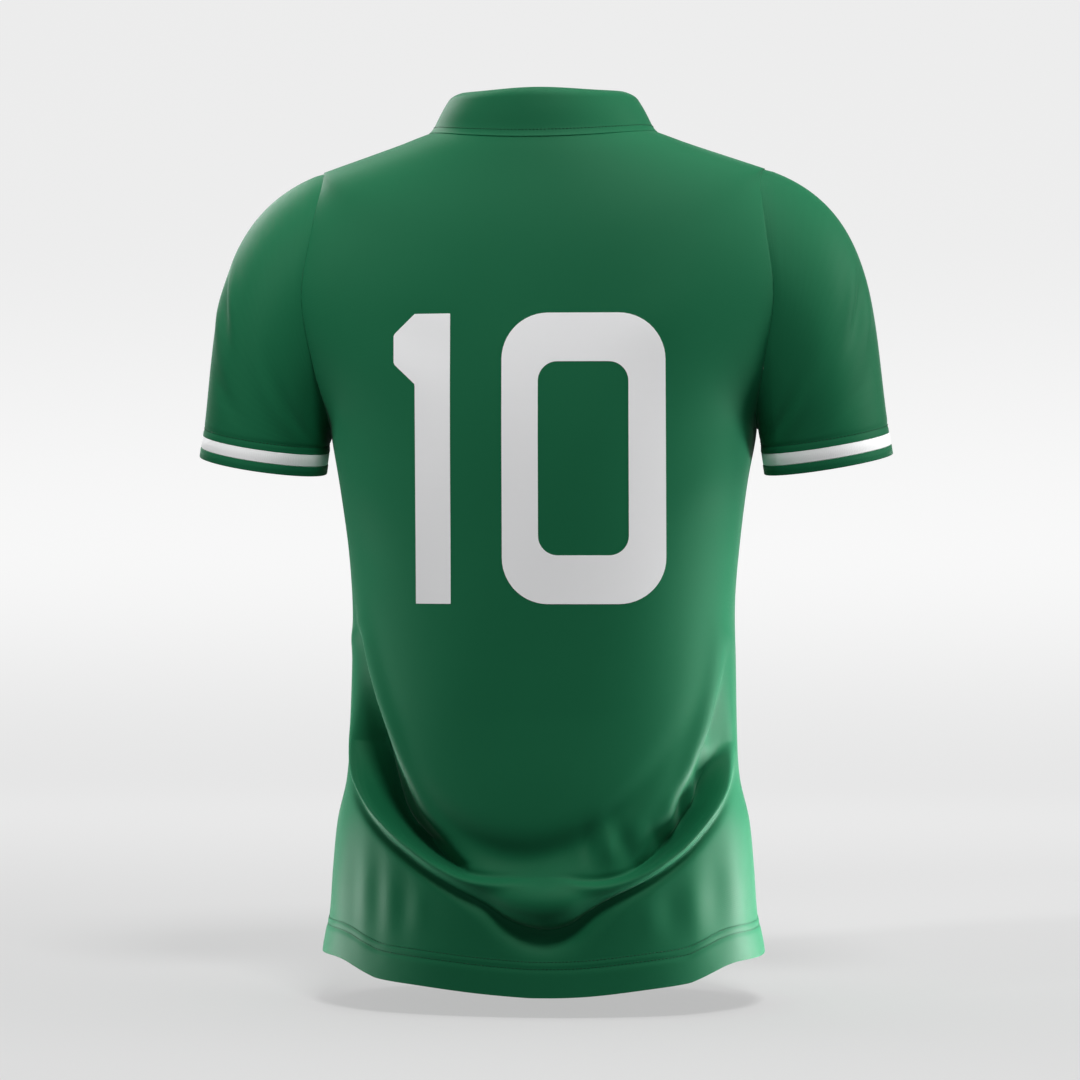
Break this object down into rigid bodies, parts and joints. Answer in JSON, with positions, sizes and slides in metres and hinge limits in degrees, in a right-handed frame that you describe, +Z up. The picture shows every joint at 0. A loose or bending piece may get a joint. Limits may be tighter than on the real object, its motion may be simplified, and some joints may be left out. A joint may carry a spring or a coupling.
{
  "type": "football jersey",
  "caption": "Short-sleeved football jersey with a stand collar, banded cuffs and a dropped back hem, hollow as if worn.",
  "frame": {"origin": "middle of the neck base, level with the shoulder line, where the wearer's neck and shoulders hold the jersey up", "axes": "+Z up, +Y towards the front of the jersey, +X across it, to the right of someone who looks at its back"},
  "size_m": [0.5912, 0.2486, 0.7486],
  "materials": {
    "jersey_cloth": "fine knit polyester with a soft satin sheen",
    "stripe_cloth": "fine white rib knit",
    "cuff_cloth": "fine rib knit",
    "collar_cloth": "doubled knit polyester with a soft satin sheen"
  },
  "bodies": {
    "root": {"back_panel": "jersey_cloth", "front_panel": "jersey_cloth", "sleeve_right": "jersey_cloth", "sleeve_left": "jersey_cloth", "cuff_stripe_right": "stripe_cloth", "cuff_stripe_left": "stripe_cloth", "cuff_edge_right": "cuff_cloth", "cuff_edge_left": "cuff_cloth", "collar": "collar_cloth"}
  },
  "joints": []
}
